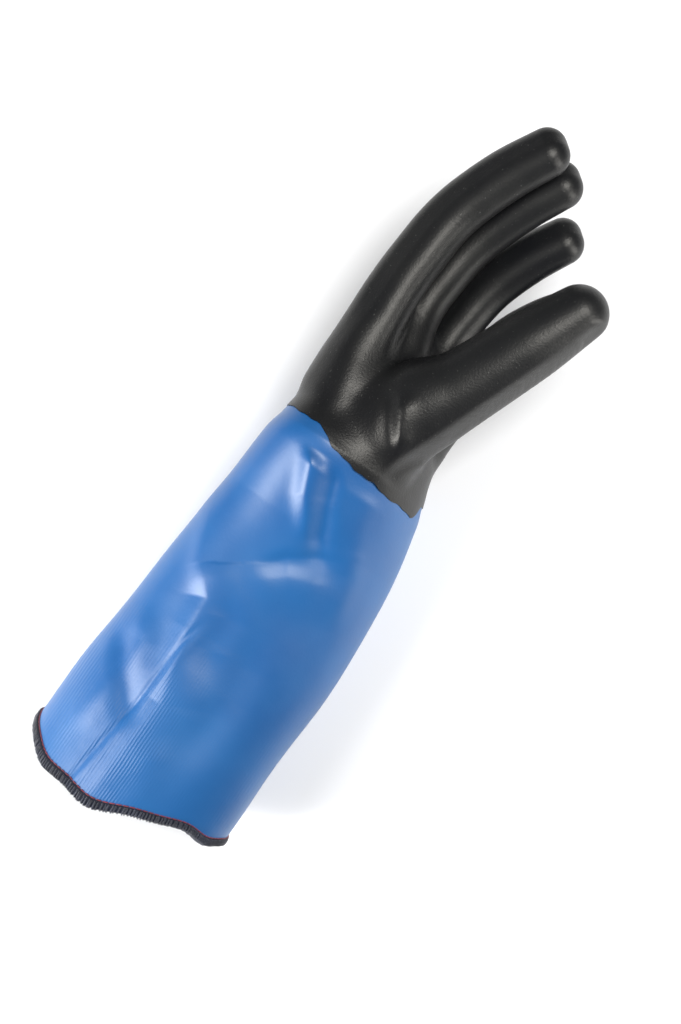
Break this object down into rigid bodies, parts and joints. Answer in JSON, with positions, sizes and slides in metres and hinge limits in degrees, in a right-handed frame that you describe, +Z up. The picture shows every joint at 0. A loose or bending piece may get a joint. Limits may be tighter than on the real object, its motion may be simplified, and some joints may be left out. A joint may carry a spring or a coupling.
{
  "type": "insulated gauntlet glove",
  "caption": "Left-hand gauntlet glove with a dipped rubber hand, a coated sleeve with an overlocked hem, an insulating lining and bending fingers, thumb and wrist.",
  "frame": {"origin": "on the flat underside of the gauntlet sleeve, where it rests on the bench, halfway along the sleeve", "axes": "+X along the sleeve toward the fingertips, +Y toward the back of the hand, +Z up from the bench, toward the thumb side"},
  "size_m": [0.4084, 0.1283, 0.1121],
  "materials": {
    "skin": "satin dipped rubber",
    "crease": "satin dipped rubber, soft at the joints",
    "sleeve": "semi-gloss coated fabric",
    "hem": "dark overlock thread",
    "needle": "red needle thread",
    "lining": "brushed insulating knit",
    "sleeve_lining": "fine knit"
  },
  "bodies": {
    "gauntlet": {"gauntlet_shell": "sleeve", "gauntlet_lining": "sleeve_lining", "hem_overlock": "hem", "hem_needle_thread": "needle", "wrist_skin": "crease", "wrist_lining": "lining"},
    "palm": {"palm_skin": "skin", "palm_lining": "lining", "index_knuckle_crease": "crease", "middle_knuckle_crease": "crease", "ring_knuckle_crease": "crease", "little_knuckle_crease": "crease", "thumb_knuckle_crease": "crease"},
    "index_proximal": {"index_proximal_skin": "skin", "index_proximal_lining": "lining", "index_middle_crease": "crease"},
    "index_middle": {"index_middle_skin": "skin", "index_middle_lining": "lining", "index_end_crease": "crease"},
    "index_tip": {"index_tip_skin": "skin", "index_tip_lining": "lining"},
    "middle_proximal": {"middle_proximal_skin": "skin", "middle_proximal_lining": "lining", "middle_middle_crease": "crease"},
    "middle_middle": {"middle_middle_skin": "skin", "middle_middle_lining": "lining", "middle_end_crease": "crease"},
    "middle_tip": {"middle_tip_skin": "skin", "middle_tip_lining": "lining"},
    "ring_proximal": {"ring_proximal_skin": "skin", "ring_proximal_lining": "lining", "ring_middle_crease": "crease"},
    "ring_middle": {"ring_middle_skin": "skin", "ring_middle_lining": "lining", "ring_end_crease": "crease"},
    "ring_tip": {"ring_tip_skin": "skin", "ring_tip_lining": "lining"},
    "little_proximal": {"little_proximal_skin": "skin", "little_proximal_lining": "lining", "little_middle_crease": "crease"},
    "little_middle": {"little_middle_skin": "skin", "little_middle_lining": "lining", "little_end_crease": "crease"},
    "little_tip": {"little_tip_skin": "skin", "little_tip_lining": "lining"},
    "thumb_proximal": {"thumb_proximal_skin": "skin", "thumb_proximal_lining": "lining", "thumb_end_crease": "crease"},
    "thumb_tip": {"thumb_tip_skin": "skin", "thumb_tip_lining": "lining"}
  },
  "joints": [
    {"name": "wrist_bend", "type": "hinge", "parent": "gauntlet", "child": "palm", "pos_m": [0.11245, 0.00149, 0.04761], "axis": [0, -0.6157, -0.788], "range_deg": [-12, 30], "deforming": ["wrist_skin", "wrist_lining"]},
    {"name": "index_knuckle", "type": "hinge", "parent": "palm", "child": "index_proximal", "pos_m": [0.18767, 0.03348, 0.07085], "axis": [-0.0207, -0.6181, -0.7858], "range_deg": [-12, 25], "deforming": ["index_knuckle_crease"]},
    {"name": "index_middle_joint", "type": "hinge", "parent": "index_proximal", "child": "index_middle", "pos_m": [0.2326, 0.03105, 0.07157], "axis": [-0.0207, -0.6181, -0.7858], "range_deg": [-20, 30], "deforming": ["index_middle_crease"]},
    {"name": "index_end_joint", "type": "hinge", "parent": "index_middle", "child": "index_tip", "pos_m": [0.2625, 0.01971, 0.07971], "axis": [-0.0207, -0.6181, -0.7858], "range_deg": [-12, 18], "deforming": ["index_end_crease"]},
    {"name": "middle_knuckle", "type": "hinge", "parent": "palm", "child": "middle_proximal", "pos_m": [0.1872, 0.02011, 0.04893], "axis": [0, -0.6157, -0.788], "range_deg": [-14, 8], "deforming": ["middle_knuckle_crease"]},
    {"name": "middle_middle_joint", "type": "hinge", "parent": "middle_proximal", "child": "middle_middle", "pos_m": [0.22988, 0.01598, 0.05215], "axis": [0, -0.6157, -0.788], "range_deg": [-18, 16], "deforming": ["middle_middle_crease"]},
    {"name": "middle_end_joint", "type": "hinge", "parent": "middle_middle", "child": "middle_tip", "pos_m": [0.25864, 0.00493, 0.06079], "axis": [0, -0.6157, -0.788], "range_deg": [-10.8, 9.6], "deforming": ["middle_end_crease"]},
    {"name": "ring_knuckle", "type": "hinge", "parent": "palm", "child": "ring_proximal", "pos_m": [0.18123, -0.00096, 0.03336], "axis": [0.0207, -0.6129, -0.7899], "range_deg": [-14, 7], "deforming": ["ring_knuckle_crease"]},
    {"name": "ring_middle_joint", "type": "hinge", "parent": "ring_proximal", "child": "ring_middle", "pos_m": [0.21885, -0.00466, 0.03721], "axis": [0.0207, -0.6129, -0.7899], "range_deg": [-18, 15], "deforming": ["ring_middle_crease"]},
    {"name": "ring_end_joint", "type": "hinge", "parent": "ring_middle", "child": "ring_tip", "pos_m": [0.2429, -0.01404, 0.04512], "axis": [0.0207, -0.6129, -0.7899], "range_deg": [-10.8, 9], "deforming": ["ring_end_crease"]},
    {"name": "little_knuckle", "type": "hinge", "parent": "palm", "child": "little_proximal", "pos_m": [0.17208, -0.02612, 0.0216], "axis": [0.0517, -0.6084, -0.792], "range_deg": [-10, 30], "deforming": ["little_knuckle_crease"]},
    {"name": "little_middle_joint", "type": "hinge", "parent": "little_proximal", "child": "little_middle", "pos_m": [0.20345, -0.02997, 0.0266], "axis": [0.0517, -0.6084, -0.792], "range_deg": [-20, 32], "deforming": ["little_middle_crease"]},
    {"name": "little_end_joint", "type": "hinge", "parent": "little_middle", "child": "little_tip", "pos_m": [0.22416, -0.0404, 0.03597], "axis": [0.0517, -0.6084, -0.792], "range_deg": [-12, 19.2], "deforming": ["little_end_crease"]},
    {"name": "thumb_knuckle", "type": "hinge", "parent": "palm", "child": "thumb_proximal", "pos_m": [0.16599, -0.02519, 0.08382], "axis": [0.1032, 0.6252, 0.7736], "range_deg": [-16, 3], "deforming": ["thumb_knuckle_crease"]},
    {"name": "thumb_end_joint", "type": "hinge", "parent": "thumb_proximal", "child": "thumb_tip", "pos_m": [0.19936, -0.03951, 0.09094], "axis": [0.1032, 0.6252, 0.7736], "range_deg": [-14, 5], "deforming": ["thumb_end_crease"]}
  ],
  "couplings": [
    {"joint": "index_end_joint", "follows": "index_middle_joint", "ratio": 0.6},
    {"joint": "middle_end_joint", "follows": "middle_middle_joint", "ratio": 0.6},
    {"joint": "ring_end_joint", "follows": "ring_middle_joint", "ratio": 0.6},
    {"joint": "little_end_joint", "follows": "little_middle_joint", "ratio": 0.6}
  ]
}
